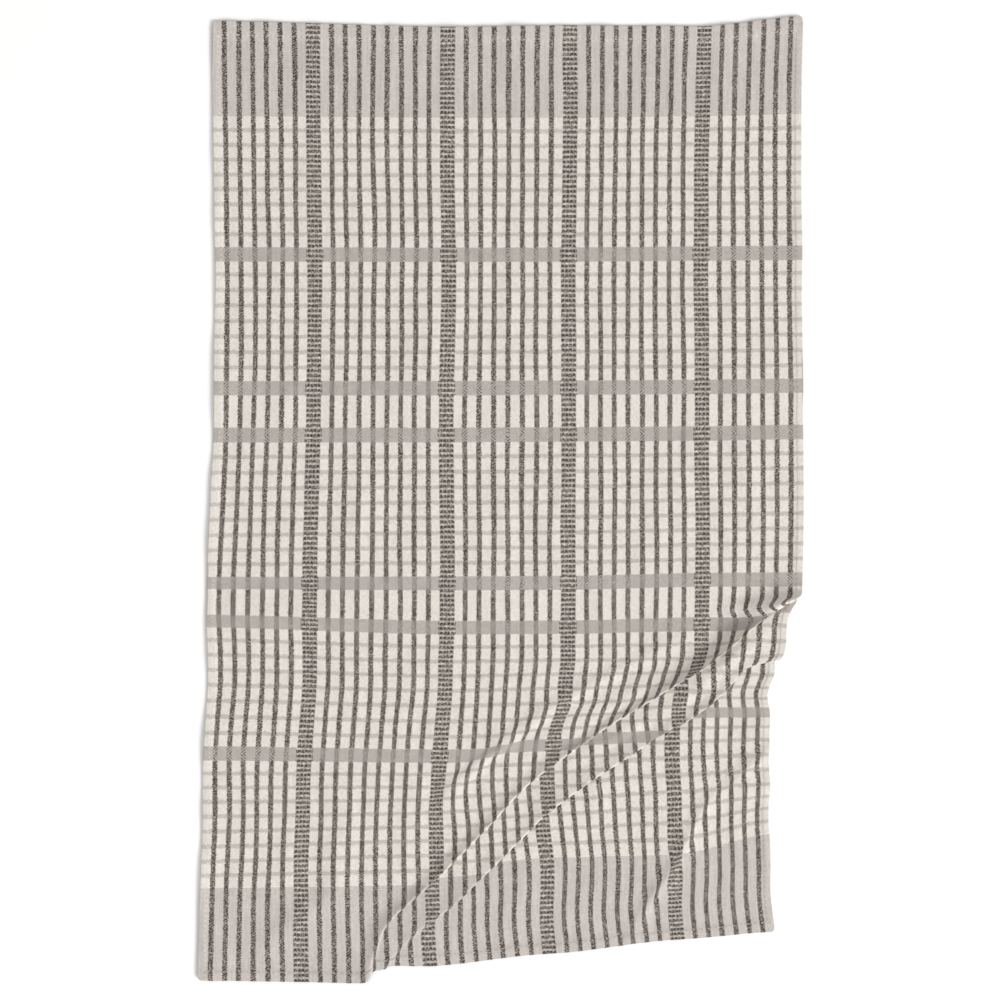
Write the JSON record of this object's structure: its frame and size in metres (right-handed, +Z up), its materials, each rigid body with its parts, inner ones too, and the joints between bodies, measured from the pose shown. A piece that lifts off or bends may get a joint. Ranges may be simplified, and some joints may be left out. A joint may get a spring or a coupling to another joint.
{
  "type": "tea towel",
  "caption": "Woven cotton tea towel lying flat, face up, with pinched diagonal folds across its lower right corner; dries dishes or lines a table.",
  "frame": {"origin": "middle of the laid cloth's outline box, on the surface it lies on", "axes": "+Y up the length of the cloth to its flat end, +X to its right seen from above, +Z up out of its face"},
  "size_m": [0.4538, 0.7258, 0.0118],
  "materials": {
    "cloth": "matt woven cotton, cream and grey checks with dark stripes"
  },
  "bodies": {
    "root": {"cloth": "cloth"}
  },
  "joints": []
}
